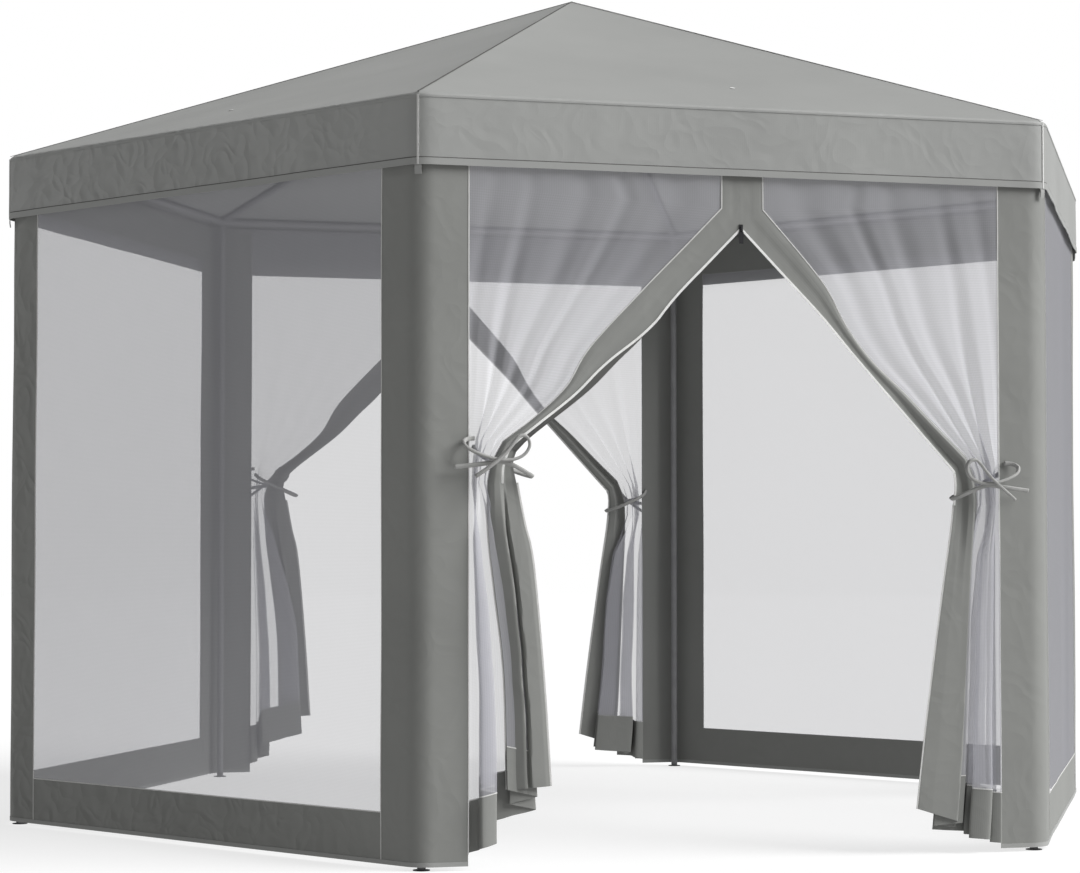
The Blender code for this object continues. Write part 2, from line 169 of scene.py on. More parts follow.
CLOTH = 0.0010  # as the cloth is modelled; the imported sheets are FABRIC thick
WELD = 0.00002
CREASED_X = -1.32, -1.02  # the cloth left of the first keeps its creases, and right of the second it is smooth
SMOOTH_SHARE = 0.14
ROOF_SMOOTH_SHARE = 0.12
YARN_LETS_THROUGH = 0.18
NET_COVER = 0.40, 0.46  # share of the net that is yarn, from between its threads to where they cross


def linear(code):
    """A #RRGGBB colour as linear numbers."""
    values = [int(code[i:i + 2], 16) / 255 for i in (1, 3, 5)]
    return tuple(v / 12.92 if v <= 0.04045 else ((v + 0.055) / 1.055) ** 2.4 for v in values)


class ScreenHouseSizes(PropertyGroup):
    """Sizes of the cloth work"""

    valance_turn: FloatProperty(
        name="Valance corner", description="Radius of the valance's corners", default=0.075, unit="LENGTH")
    wall_turn: FloatProperty(
        name="Wall corner", description="Radius of the walls' corners", default=0.080, unit="LENGTH")
    roof_sag: FloatProperty(
        name="Roof sag", description="How far each roof panel sags in its middle", default=0.012, unit="LENGTH")
    valance_hem: FloatProperty(
        name="Valance hem", description="Height of the valance's hem", default=0.019, unit="LENGTH")
    bottom_band: FloatProperty(
        name="Bottom band", description="Height of the cloth band under each net", default=0.148, unit="LENGTH")
    piping: FloatProperty(
        name="Piping", description="Width of the piping in the seams", default=0.0034, unit="LENGTH")
    zip_tape: FloatProperty(
        name="Zip tape", description="Width of the zip tape beside each free edge", default=0.007, unit="LENGTH")
    fold_depth: FloatProperty(
        name="Fold depth", description="Depth of the folds in a gathered door", default=0.019, unit="LENGTH")


def colour(name, description, code):
    return FloatVectorProperty(
        name=name, description=description, subtype="COLOR", size=3, min=0, max=1, default=linear(code))


class ScreenHouseColours(PropertyGroup):
    """Colours of the cloth, net and metal"""

    roof: colour("Roof cloth", "Coated polyester of the roof and valance", "#9C9D9B")
    # Drawn darker than the roof cloth, which is the same polyester: the difference is painted shade
    wall: colour("Wall cloth", "Coated polyester of the bands", "#868784")
    # The seam colour also paints the shade on the left door band
    seam: colour("Seam", "Thread and shadow of a flat seam", "#5C5C5A")
    net: colour("Net", "Yarn of the insect net", "#CACAD0")
    piping: colour("Piping", "Light piping in the seams", "#CFCFCD")
    strap: colour("Strap", "Folded polyester of the ties", "#A6A6A4")
    zip_tape: colour("Zip tape", "Woven tape of the zips", "#EDEDEB")
    steel: colour("Steel", "Powder coat of the tubes", "#8C8C8E")
    nylon: colour("Nylon", "Moulded feet", "#454547")
    zinc: colour("Zinc", "Lacquer of slider and pull", "#3E3E40")


def add_node(tree, kind, inputs=None, **settings):
    """A node with these settings, and each input set to a value or linked to a socket."""
    made = tree.nodes.new(kind)
    for name, value in settings.items():
        setattr(made, name, value)
    for socket, value in (inputs or {}).items():
        if isinstance(value, bpy.types.NodeSocket):
            tree.links.new(value, made.inputs[socket])
        else:
            made.inputs[socket].default_value = value
    return made


def new_material(name):
    made = bpy.data.materials.get(name)
    if made:
        return made, None
    made = bpy.data.materials.new(name)
    made.use_nodes = True
    return made, made.node_tree


def shader_of(tree):
    return tree.nodes["Principled BSDF"]


def mottled(tree, base, spread, coords, scale):
    """The base colour, lighter and darker by a soft pattern."""
    soft = add_node(tree, "ShaderNodeTexNoise", {"Vector": coords, "Scale": scale, "Detail": 4.0})
    shades = add_node(tree, "ShaderNodeValToRGB", {"Fac": soft.outputs["Fac"]})
    for element, share, place in zip(shades.color_ramp.elements, (1 - spread, 1 + spread), (0.3, 0.7)):
        element.position = place
        element.color = (*(min(1, c * share) for c in base), 1)
    return shades.outputs["Color"]


def woven_height(tree, spacing):
    """Warp and weft of a plain weave, spacing metres apart, on the UV map in metres."""
    uv = add_node(tree, "ShaderNodeUVMap", uv_map="cloth")
    period = math.pi / 10 / spacing
    threads = [add_node(tree, "ShaderNodeTexWave", {"Vector": uv.outputs["UV"], "Scale": period},
                        bands_direction=axis) for axis in "XY"]
    both = add_node(tree, "ShaderNodeMath", {0: threads[0].outputs["Fac"], 1: threads[1].outputs["Fac"]},
                    operation="ADD")
    return both.outputs[0]


def coated_polyester(name, base, roughness, crumple):
    """Oxford weave with a coating: shallow creases from its pack as a bump, a faint weave and a low sheen."""
    made, tree = new_material(name)
    if tree is None:
        return made
    shader = shader_of(tree)
    coords = add_node(tree, "ShaderNodeTexCoord").outputs["Object"]
    tree.links.new(mottled(tree, base, 0.05, coords, 2.2), shader.inputs["Base Color"])
    shader.inputs["Roughness"].default_value = roughness
    shader.inputs["IOR"].default_value = 1.5
    shader.inputs["Specular IOR Level"].default_value = 0.35
    shader.inputs["Sheen Weight"].default_value = 0.08
    bent = add_node(tree, "ShaderNodeTexNoise", {"Vector": coords, "Scale": 4.0, "Detail": 2.0})
    shifted = add_node(tree, "ShaderNodeVectorMath", {0: coords, 1: bent.outputs["Color"]}, operation="ADD")
    facets = add_node(tree, "ShaderNodeTexVoronoi", {"Vector": shifted.outputs[0], "Scale": 8.0})
    ridges = add_node(tree, "ShaderNodeTexNoise", {"Vector": coords, "Scale": 5.0, "Detail": 4.0,
                                                   "Roughness": 0.55, "Distortion": 0.6},
                      noise_type="RIDGED_MULTIFRACTAL", normalize=True)
    creases = add_node(tree, "ShaderNodeMix", {0: 0.45, 2: ridges.outputs["Fac"], 3: facets.outputs["Distance"]},
                       data_type="FLOAT")
    # The left side lay outermost in its bag and kept its creases; the roof is pulled flat over its tubes
    place = add_node(tree, "ShaderNodeSeparateXYZ", {0: coords})
    kept = add_node(tree, "ShaderNodeMapRange", {
        "Value": place.outputs["X"], "From Min": CREASED_X[0], "From Max": CREASED_X[1],
        "To Min": crumple, "To Max": crumple * SMOOTH_SHARE})
    slack = add_node(tree, "ShaderNodeMapRange", {
        "Value": place.outputs["Z"], "From Min": EAVE_Z - 0.01, "From Max": EAVE_Z + 0.02,
        "To Min": 1.0, "To Max": ROOF_SMOOTH_SHARE})
    strength = add_node(tree, "ShaderNodeMath", {0: kept.outputs["Result"], 1: slack.outputs["Result"]},
                        operation="MULTIPLY")
    crease_bump = add_node(tree, "ShaderNodeBump", {"Height": creases.outputs[0], "Strength": strength.outputs[0],
                                                    "Distance": 0.03})
    # Real threads are 0.5 mm apart; 3 mm is the finest that shows
    weave_bump = add_node(tree, "ShaderNodeBump", {"Height": woven_height(tree, 0.003), "Strength": 0.12,
                                                   "Distance": 0.0006, "Normal": crease_bump.outputs["Normal"]})
    tree.links.new(weave_bump.outputs["Normal"], shader.inputs["Normal"])
    return made


def insect_net(name, base):
    """Knitted polyester net: over half of it is open, and its yarn passes some of the light behind it."""
    made, tree = new_material(name)
    if tree is None:
        return made
    shader = shader_of(tree)
    shader.inputs["Base Color"].default_value = (*base, 1)
    shader.inputs["Roughness"].default_value = 0.85
    shader.inputs["Specular IOR Level"].default_value = 0.2
    through = add_node(tree, "ShaderNodeBsdfTranslucent", {"Color": (*base, 1)})
    yarn = add_node(tree, "ShaderNodeMixShader", {
        0: YARN_LETS_THROUGH, 1: shader.outputs[0], 2: through.outputs[0]})
    # Real holes are 1.2 mm; 4 mm is the finest that shows
    height = woven_height(tree, 0.004)
    cover = add_node(tree, "ShaderNodeMapRange", {
        "Value": height, "From Min": 0.0, "From Max": 2.0, "To Min": NET_COVER[0], "To Max": NET_COVER[1]})
    hole = add_node(tree, "ShaderNodeBsdfTransparent")
    sheet = add_node(tree, "ShaderNodeMixShader", {
        0: cover.outputs["Result"], 1: hole.outputs[0], 2: yarn.outputs[0]})
    tree.links.new(sheet.outputs[0], tree.nodes["Material Output"].inputs["Surface"])
    return made


def tape(name, base, spacing):
    """Flat woven tape: ribs across it and a dry, matt surface."""
    made, tree = new_material(name)
    if tree is None:
        return made
    shader = shader_of(tree)
    coords = add_node(tree, "ShaderNodeTexCoord").outputs["Object"]
    tree.links.new(mottled(tree, base, 0.06, coords, 40.0), shader.inputs["Base Color"])
    shader.inputs["Roughness"].default_value = 0.8
    ribs = add_node(tree, "ShaderNodeBump", {"Height": woven_height(tree, spacing), "Strength": 0.5,
                                             "Distance": 0.0006})
    tree.links.new(ribs.outputs["Normal"], shader.inputs["Normal"])
    return made


def powder_coat(name, base, roughness, metallic, grain):
    """Baked or moulded skin: an even colour with a fine orange peel, and small changes of gloss."""
    made, tree = new_material(name)
    if tree is None:
        return made
    shader = shader_of(tree)
    coords = add_node(tree, "ShaderNodeTexCoord").outputs["Object"]
    tree.links.new(mottled(tree, base, 0.08, coords, 25.0), shader.inputs["Base Color"])
    shader.inputs["Metallic"].default_value = metallic
    peel = add_node(tree, "ShaderNodeTexNoise", {"Vector": coords, "Scale": 1 / grain, "Detail": 2.0})
    gloss = add_node(tree, "ShaderNodeMapRange", {"Value": peel.outputs["Fac"], "To Min": roughness - 0.06,
                                                  "To Max": roughness + 0.08})
    tree.links.new(gloss.outputs["Result"], shader.inputs["Roughness"])
    bump = add_node(tree, "ShaderNodeBump", {"Height": peel.outputs["Fac"], "Strength": 0.2, "Distance": 0.0003})
    tree.links.new(bump.outputs["Normal"], shader.inputs["Normal"])
    return made


def new_bmesh():
    bm = bmesh.new()
    bm.loops.layers.uv.new("cloth")
    return bm


def length_of(points):
    return sum((b - a).length for a, b in zip(points, points[1:]))


def patch(bm, across, down, place):
    """Adds a grid of cloth: place(u, v) is the point u across and v down it, and its UV map is in metres."""
    uv = bm.loops.layers.uv["cloth"]
    verts = bmesh.ops.create_grid(bm, x_segments=across, y_segments=down, size=0.5)["verts"]
    width = length_of([place(i / 12, 0.5) for i in range(13)])
    height = length_of([place(0.5, i / 12) for i in range(13)])
    for face in {face for vert in verts for face in vert.link_faces}:
        for loop in face.loops:
            loop[uv].uv = ((loop.vert.co.x + 0.5) * width, (0.5 - loop.vert.co.y) * height)
    for vert in verts:
        vert.co = place(vert.co.x + 0.5, 0.5 - vert.co.y)
    return verts


def make_piece(name, bm, finish, thickness=0.0, offset=0.0):
    """An object from this mesh, smooth, with a thickness if it is given, in the given finish."""
    bmesh.ops.remove_doubles(bm, verts=bm.verts, dist=WELD)
    if thickness:
        bmesh.ops.recalc_face_normals(bm, faces=bm.faces)
    for face in bm.faces:
        face.smooth = True
    mesh = bpy.data.meshes.new(name)
    bm.to_mesh(mesh)
    bm.free()
    mesh.materials.append(finish)
    obj = bpy.data.objects.new(name, mesh)
    bpy.context.scene.collection.objects.link(obj)
    if thickness:
        thick = obj.modifiers.new("cloth", "SOLIDIFY")
        thick.thickness = thickness
        thick.offset = offset
        graph = bpy.context.evaluated_depsgraph_get()
        obj.data = bpy.data.meshes.new_from_object(obj.evaluated_get(graph))
        obj.data.name = name
        obj.modifiers.clear()
        bpy.data.meshes.remove(mesh)
        obj.data.set_sharp_from_angle(angle=math.radians(50))
    return obj


def strip(bm, route, width, lift, steps=2):
    """Adds a narrow strip along a route of (point, outward), width across and lift above it."""
    points = [point for point, _ in route]
    tangents = [(b - a).normalized() for a, b in zip([points[0], *points], [*points[1:], points[-1]])]

    def place(u, v):
        i = min(len(route) - 1, round(v * (len(route) - 1)))
        point, outward = route[i]
        side = tangents[i].cross(outward).normalized()
        return point + side * (u - 0.5) * width + outward * lift

    patch(bm, steps, len(route) - 1, place)


def smooth_path(points, step):
    """Points about step apart on a smooth curve through these."""
    ends = [points[0] * 2 - points[1], *points, points[-1] * 2 - points[-2]]
    path = []
    for a, b, c, d in zip(ends, ends[1:], ends[2:], ends[3:]):
        count = max(2, round((c - b).length / step))
        for i in range(count):
            t = i / count
            path.append(0.5 * (2 * b + (c - a) * t + (2 * a - 5 * b + 4 * c - d) * t * t
                               + (3 * b - a - 3 * c + d) * t * t * t))
    return [*path, points[-1]]


def point_on(path, share):
    """The point this share of the way along a path."""
    left = share * length_of(path)
    for a, b in zip(path, path[1:]):
        step = (b - a).length
        if left <= step:
            return a.lerp(b, left / step if step else 0)
        left -= step
    return path[-1].copy()


def guide(stretches, steps=60):
    """A line through stretches of (x, z) points, each one unit of its measure, as a function of the measure."""
    lines = []
    for stretch in stretches:
        path = smooth_path([Vector(point) for point in stretch], 0.02)
        lines.append([point_on(path, i / steps) for i in range(steps + 1)])

    def at(measure):
        index = min(int(measure), len(lines) - 1)
        place = max(0.0, min(1.0, measure - index)) * steps
        low = min(int(place), steps - 1)
        return lines[index][low].lerp(lines[index][low + 1], place - low)

    return at


def rounded_corner(radius, turn, along):
    """Plan point and outward direction, this far along past the rounded corner that is on +X."""
    angle = max(-HALF_CORNER, min(HALF_CORNER, along / turn))
    outward = Vector((math.cos(angle), math.sin(angle), 0))
    onward = Vector((-outward.y, outward.x, 0))
    middle = Vector((radius - turn / math.cos(HALF_CORNER), 0, 0))
    return middle + outward * turn + onward * (along - angle * turn), outward


def half_path(radius, turn):
    """From the middle of a rounded corner to the middle of a side."""
    return radius / 2 - turn * math.tan(HALF_CORNER) + turn * HALF_CORNER


def turned_to(degrees, *vectors):
    turn = Matrix.Rotation(math.radians(degrees), 3, "Z")
    return [turn @ vector for vector in vectors]


def around(radius, turn, u):
    """Plan point, outward direction and share from corner (0) to mid-side (1), u of the way round the house."""
    corner = round(u * SIDES)
    share = 2 * (u * SIDES - corner)
    along = math.copysign(abs(share) ** 1.6, share) * half_path(radius, turn)
    return *turned_to(corner * 360 / SIDES, *rounded_corner(radius, turn, along)), abs(share)


def apothem(point):
    """How far out a plan point is, measured square to the side that it is nearest to."""
    sides = (math.radians(30 + 60 * i) for i in range(SIDES))
    return max(point.x * math.cos(a) + point.y * math.sin(a) for a in sides)


def wobble(point, size, reach):
    """A soft in-and-out wave of the cloth at this place, reach metres long."""
    return size * noise.noise(point / reach)


def wall_point(degrees, x, out, z):
    """x to the right along a wall seen from outside, out from it, and its height."""
    outward = Vector((math.cos(math.radians(degrees)), math.sin(math.radians(degrees)), 0))
    onward = Vector((-outward.y, outward.x, 0))
    point = outward * WALL_Y + onward * x + Vector((0, 0, z))
    return point + outward * (out + wobble(point, 0.004, 0.45)), outward


def roof_rows():
    """(share of the way from peak to eave, drop below the eave, push outwards) for each ring of the roof."""
    slope = [(i / 40, None, 0.0) for i in range(40)]
    fold = [(0.985, None, 0.0), (0.993, None, 0.0), (1.0, 0.0, -0.003), (1.0, 0.004, 0.0)]
    depth = EAVE_Z - VALANCE_LOW_Z
    skirt = [(1.0, 0.012 + (depth - 0.012) * i / 18, 0.0) for i in range(19)]
    return slope + fold + skirt


def roof_point(sizes, u, row, lift=0.0):
    share, drop, push = row
    plan, outward, side_share = around(VALANCE_R, sizes.valance_turn, u)
    plan *= share
    if drop is None:
        full = VALANCE_R * math.cos(HALF_CORNER)
        z = PEAK_Z - (PEAK_Z - EAVE_Z) * apothem(plan) / full
        slack = math.sin(math.pi * share) * math.sin(math.pi / 2 * side_share)
        place = Vector((plan.x, plan.y, z))
        sag = sizes.roof_sag * slack + wobble(place, 0.004, 0.35) * slack
        return place + Vector((0, 0, lift - sag))
    place = Vector((plan.x, plan.y, EAVE_Z - drop))
    loose = min(1.0, drop / 0.12)
    swing = wobble(place, 0.006, 0.30) * loose + wobble(place, 0.003, 0.11) * loose
    return place + outward * (push + swing * (0.35 + 0.65 * side_share) + lift)


def build_roof(sizes, cloth, hem_cloth, seam_thread_and_shadow, piping):
    rows = roof_rows()
    columns = 48 * SIDES
    bm = new_bmesh()
    patch(bm, columns, len(rows) - 1, lambda u, v: roof_point(sizes, u, rows[round(v * (len(rows) - 1))]))
    roof = make_piece("roof_sheet", bm, cloth, FABRIC * 0.8)
    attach(roof, "root")
    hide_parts("roof_canopy")

    depth = EAVE_Z - VALANCE_LOW_Z
    bm = new_bmesh()
    top = depth - sizes.valance_hem
    patch(bm, columns, 4, lambda u, v: roof_point(
        sizes, u, (1.0, top + v * (sizes.valance_hem + 0.0006), 0.0), 0.0012))
    eave = [(roof_point(sizes, i / columns, (1.0, 0.009, 0.0)), around(VALANCE_R, sizes.valance_turn, i / columns)[1])
            for i in range(columns + 1)]
    strip(bm, eave, 0.0050, 0.0010)
    hem = make_piece("valance_hem", bm, hem_cloth, 0.0022)
    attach(hem, "root")

    # The hip lines and the valance's stitch line are dark strips: each seam's thread and its painted shadow
    bm = new_bmesh()
    for i in range(SIDES):
        hip = [(roof_point(sizes, i / SIDES, (s / 40, None, 0.0), 0.0014), Vector((0, 0, 1))) for s in range(41)]
        strip(bm, hip, 0.0055, 0.0)
    stitch = [(roof_point(sizes, i / columns, (1.0, top - 0.0015, 0.0)),
               around(VALANCE_R, sizes.valance_turn, i / columns)[1]) for i in range(columns + 1)]
    strip(bm, stitch, 0.0022, 0.0008)
    seams = make_piece("roof_seams", bm, seam_thread_and_shadow, 0.0012)
    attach(seams, "root")

    bm = new_bmesh()
    for degrees in CORNERS.values():
        u = degrees / 360
        outward = around(VALANCE_R, sizes.valance_turn, u)[1]
        line = [(roof_point(sizes, u, (1.0, 0.004 + (depth - 0.004) * i / 10, 0.0)), outward) for i in range(11)]
        strip(bm, line, 0.0060, 0.0020)
    cords = make_piece("valance_piping", bm, piping, 0.0022)
    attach(cords, "root")

    bm = new_bmesh()
    for degrees in CORNERS.values():
        outward = around(VALANCE_R, sizes.valance_turn, degrees / 360)[1]
        top_point = roof_point(sizes, degrees / 360, (1.0, depth, 0.0))
        drop = Vector((0, 0, -1))
        line = [(top_point + drop * (0.040 * i / 6 - 0.012) + outward * 0.003 * math.sin(i / 6 * 3), outward)
                for i in range(7)]
        strip(bm, line, 0.020, -0.0030, steps=4)
    tabs = make_piece("valance_tabs", bm, hem_cloth, 0.0018)
    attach(tabs, "root")


EYELET_SHARE = 0.816  # of the way from peak to eave
EYELET_OFFSETS = {3: -0.209, 4: 0.087}


def build_eyelets(sizes, finish):
    """A small pale drain eyelet low on each roof panel; two are off their panel's middle."""
    bm = new_bmesh()
    for i in range(SIDES):
        wanted = EYELET_OFFSETS.get(i, 0.0)
        middle = math.radians((i + 0.5) * 60)
        onward = Vector((-math.sin(middle), math.cos(middle), 0))
        choices = ((i + 0.5) / SIDES + step / 2400 for step in range(-160, 161))
        u = min(choices, key=lambda u: abs(roof_point(sizes, u, (EYELET_SHARE, None, 0.0)).dot(onward) - wanted))
        place = roof_point(sizes, u, (EYELET_SHARE, None, 0.0), 0.0016)
        inward = (roof_point(sizes, u, (EYELET_SHARE - 0.05, None, 0.0)) - place).normalized()
        sideways = Vector((-inward.y, inward.x, 0)).normalized()
        up = sideways.cross(inward)
        up = up if up.z > 0 else -up
        turn = Matrix((sideways, up.cross(sideways), up)).transposed().to_4x4()
        ring = bmesh.ops.create_circle(bm, cap_ends=True, radius=0.0078, segments=20,
                                       matrix=Matrix.Translation(place) @ turn)["verts"]
        face = ring[0].link_faces[0]
        bmesh.ops.inset_region(bm, faces=[face], thickness=0.0016, depth=0.0007)
        bmesh.ops.inset_region(bm, faces=[face], thickness=0.0018, depth=-0.0007)
    eyelets = make_piece("drain_eyelets", bm, finish, 0.0008)
    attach(eyelets, "root")


def build_corner_bands(sizes, cloth, hem_cloth):
    """Each corner's band is one strip of cloth folded round its leg, with a rolled hem at its foot."""
    radius = WALL_Y / math.cos(HALF_CORNER)
    reach = half_path(radius, sizes.wall_turn) - NET_X

    def band_point(degrees, u, z, lift=0.0):
        plan, outward = turned_to(degrees, *rounded_corner(radius, sizes.wall_turn, (u - 0.5) * 2 * reach))
        place = plan + Vector((0, 0, z))
        return place + outward * (wobble(place, 0.004, 0.45) + lift)

    for corner, degrees in CORNERS.items():
        bm = new_bmesh()
        patch(bm, 26, 80, lambda u, v: band_point(degrees, u, WALL_TOP_Z + (HEM_Z - WALL_TOP_Z) * v))
        band = make_piece(f"corner_band_{corner}", bm, cloth, CLOTH)
        bm = new_bmesh()
        patch(bm, 26, 3, lambda u, v: band_point(degrees, u, HEM_Z + 0.013 * (1 - v), 0.0006))
        hem = make_piece(f"corner_hem_{corner}", bm, hem_cloth, 0.0024)
        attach(band, "root")
        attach(hem, "root")


def build_net_walls(sizes, net, cloth, hem_cloth, piping):
    band_top = HEM_Z + sizes.bottom_band
    top_band = WALL_TOP_Z - TOP_BAND

    for wall, degrees in NET_WALLS.items():
        def on_wall(low, high, lift=0.0):
            def place(u, v):
                point, outward = wall_point(degrees, (2 * u - 1) * NET_X, lift, high + (low - high) * v)
                return point
            return place

        bm = new_bmesh()
        patch(bm, 70, 84, on_wall(band_top, top_band))
        sheet = make_piece(f"net_{wall}", bm, net)
        bm = new_bmesh()
        patch(bm, 70, 8, on_wall(HEM_Z, band_top))
        patch(bm, 70, 6, on_wall(top_band, WALL_TOP_Z))
        band = make_piece(f"wall_bands_{wall}", bm, cloth, CLOTH)
        bm = new_bmesh()
        patch(bm, 70, 3, on_wall(HEM_Z, HEM_Z + 0.013, 0.0006))
        hem = make_piece(f"wall_hem_{wall}", bm, hem_cloth, 0.0024)
        bm = new_bmesh()
        for x in (-NET_X, NET_X):
            line = [wall_point(degrees, x, 0, HEM_Z + (WALL_TOP_Z - HEM_Z) * i / 60) for i in range(61)]
            strip(bm, line, sizes.piping, 0.0010)
        for height in (band_top, top_band):
            line = [wall_point(degrees, NET_X * (2 * i / 60 - 1), 0, height) for i in range(61)]
            strip(bm, line, sizes.piping, 0.0010)
        cords = make_piece(f"wall_piping_{wall}", bm, piping, 0.0014)
        for piece in (sheet, band, hem, cords):
            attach(piece, "root")
        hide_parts(f"net_wall_{wall}")


def leg_line(half):
    knot_z = half["knot"][1]
    return (((NET_X, WALL_TOP_Z), (NET_X, 1.960)), ((NET_X, 1.960), (NET_X, knot_z + 0.060)),
            ((NET_X, knot_z + 0.060), (NET_X, knot_z - NECK)))


def fold_wave(share, folds, measure):
    """An uneven row of folds, nothing at both sides."""
    drift = 0.9 * noise.noise(Vector((share * 3.1, measure * 0.8, folds)))
    strength = 0.75 + 0.9 * noise.noise(Vector((share * folds * 0.7 + 5, measure * 0.9, 0)))
    phase = 2 * math.pi * (folds * share + drift)
    wave = math.sin(phase) + 0.25 * math.sin(2 * phase + 1)
    hold = min(1.0, share / 0.07, (1 - share) / 0.07)
    return wave * hold * max(0.25, strength)


def ruled(half, out, first, second, share, measure, depth, across=None):
    """A point of a door half between two of its lines, depth out from the wall; across moves a fold over."""
    x, z = first(measure).lerp(second(measure), share)
    if across is not None:
        x = first(measure).lerp(second(measure), across).x
    place = Vector((half["side"] * x, out * WALL_Y, z))
    return place + Vector((0, out * (depth + wobble(place, 0.004, 0.45)), 0))


def ramp(value, points):
    """A number by straight lines between (place, number) points."""
    for (a, low), (b, high) in zip(points, points[1:]):
        if value <= b:
            return low + (high - low) * max(0.0, (value - a) / (b - a))
    return points[-1][1]


NET_FOLDS = 5
# Depths of the upper half's folds down their lines, and across its band, in fold depths
UPPER_NET_DEPTH = ((0, 0.05), (1, 0.15), (1.5, 0.50), (1.8, 0.95), (2, 1.4), (3, 1.6))
UPPER_BAND_DEPTH = ((0, 0.03), (1, 0.05), (1.7, 0.25), (1.93, 0.9), (2.1, 0.8), (3, 0.8))
UPPER_BAND_SECTION = ((0, 0), (0.12, -0.2), (0.38, -0.3), (0.46, -0.1), (0.60, 0.6), (0.80, 0.8), (0.92, 0.45),
                      (1, 0))
# How much of the left band's width is covered by a dark sheet of painted shade, down its lines; the left zip tape
# follows its edge
PAINTED_SHADE_SHARE = ((0, 0), (1.40, 0), (1.65, 0.32), (1.88, 0.52), (3, 0.52))
# Across each hanging tail: the band from its free edge to its seam, as (share, depth in fold depths)
TAIL_BAND = {
    "left": ((0, 0.25), (0.10, 0.40), (0.42, 0.50), (0.47, -0.45), (0.50, -0.50), (0.54, 0.45), (0.60, 0.40),
             (1, -0.9)),
    "right": ((0, 0.10), (0.30, 0.25), (0.70, 0.30), (0.86, 0.35), (0.93, -0.6), (1, -0.9)),
}
# and the net from the seam, back behind the band, then in folds to the leg, as (share, tenths of a metre out)
TAIL_NET = {
    "left": ((0, 0), (-0.80, -0.08), (-0.10, -0.15), (-0.80, -0.22), (-0.10, -0.30), (0.62, -0.36),
             (0.34, -0.26), (0.66, -0.16), (0.32, -0.06), (0.68, 0.04), (0.30, 0.14), (0.70, 0.26),
             (0.75, -0.04), (0.95, -0.10), (1, 0)),
    "right": ((0, 0), (-0.75, -0.08), (-0.10, -0.15), (-0.75, -0.22), (-0.05, -0.30), (0.50, -0.34),
              (0.08, -0.18), (0.55, -0.04), (0.12, 0.10), (0.62, 0.22), (0.66, -0.26), (0.95, -0.22),
              (0.72, -0.04), (0.97, 0.08), (1, 0)),
}
TAIL_OPEN = ((0, 0), (0.16, 0.8), (0.35, 1), (1, 1))
NECK_FOLD_DEPTH = 0.8
TAIL_NET_DEPTH = 1.6
HEAD_CLOTH = 0.175  # the cloth along a door's head, as a share of the way down its upper half
PAINTED_SHADE_FROM, PAINTED_SHADE_LONG = 1.40, 0.62  # where the left band's dark sheet of painted shade lies, on its lines' measure


def build_door_upper(sizes, door, out, cloth, net, piping, zip_tape, painted_shade_finish):
    bands, cords, tapes, painted_shade_mesh = new_bmesh(), new_bmesh(), new_bmesh(), new_bmesh()
    nets = []
    for name, half in HALVES.items():
        edge, seam, leg = guide(half["edge"]), guide(half["seam"]), guide(leg_line(half))

        def band_point(u, v, half=half, edge=edge, seam=seam):
            measure = 3 * v
            puff = sizes.fold_depth * ramp(measure, UPPER_BAND_DEPTH) * ramp(u, UPPER_BAND_SECTION)
            return ruled(half, out, edge, seam, u, measure, puff + 0.0012)

        def net_point(u, v, half=half, seam=seam, leg=leg):
            measure = 3 * v
            depth = sizes.fold_depth * ramp(measure, UPPER_NET_DEPTH) * fold_wave(u, NET_FOLDS, measure)
            return ruled(half, out, seam, leg, u, measure, depth)

        patch(bands, 24, 150, band_point)
        # On the left half a dark sheet in the seam colour lies over the band near its knot: painted shade
        if name == "left":
            def painted_shade_point(u, v, band_point=band_point):
                measure = PAINTED_SHADE_FROM + PAINTED_SHADE_LONG * v
                return band_point(u * ramp(measure, PAINTED_SHADE_SHARE), measure / 3) + Vector((0, out * 0.0016, 0))

            patch(painted_shade_mesh, 8, 70, painted_shade_point)
        patch(bands, 40, 10, lambda u, v: net_point(u, HEAD_CLOTH * v) + Vector((0, out * 0.0014, 0)))
        bm = new_bmesh()
        patch(bm, 130, 120, net_point)
        nets.append(make_piece(f"door_net_{door}_{name}", bm, net))
        outward = Vector((0, out, 0))
        strip(cords, [(band_point(1, i / 150), outward) for i in range(151)], sizes.piping, 0.0010)
        strip(cords, [(net_point(1, i / 100), outward) for i in range(101)], sizes.piping, 0.0010)
        shift = Vector((-half["side"] * sizes.zip_tape * 0.30, 0, -sizes.zip_tape * 0.30))
        # The left zip tape runs along the edge of the painted shade
        turn = PAINTED_SHADE_SHARE if name == "left" else ((0, 0), (3, 0))
        rows = [1 / 3 + 0.002 + (2 / 3 - 0.002) * i / 100 for i in range(101)]
        strip(tapes, [(band_point(ramp(3 * v, turn), v) + shift, outward) for v in rows], sizes.zip_tape, 0.0022)
    band = make_piece(f"door_bands_{door}", bands, cloth, CLOTH)
    cord = make_piece(f"door_piping_{door}", cords, piping, 0.0014)
    zips = make_piece(f"zip_tapes_{door}", tapes, zip_tape, 0.0014)
    painted_shade_sheet = make_piece(f"band_painted_shade_{door}", painted_shade_mesh, painted_shade_finish, CLOTH)
    for piece in (band, cord, zips, painted_shade_sheet, *nets):
        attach(piece, "root")
    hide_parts(f"door_wall_{door}")


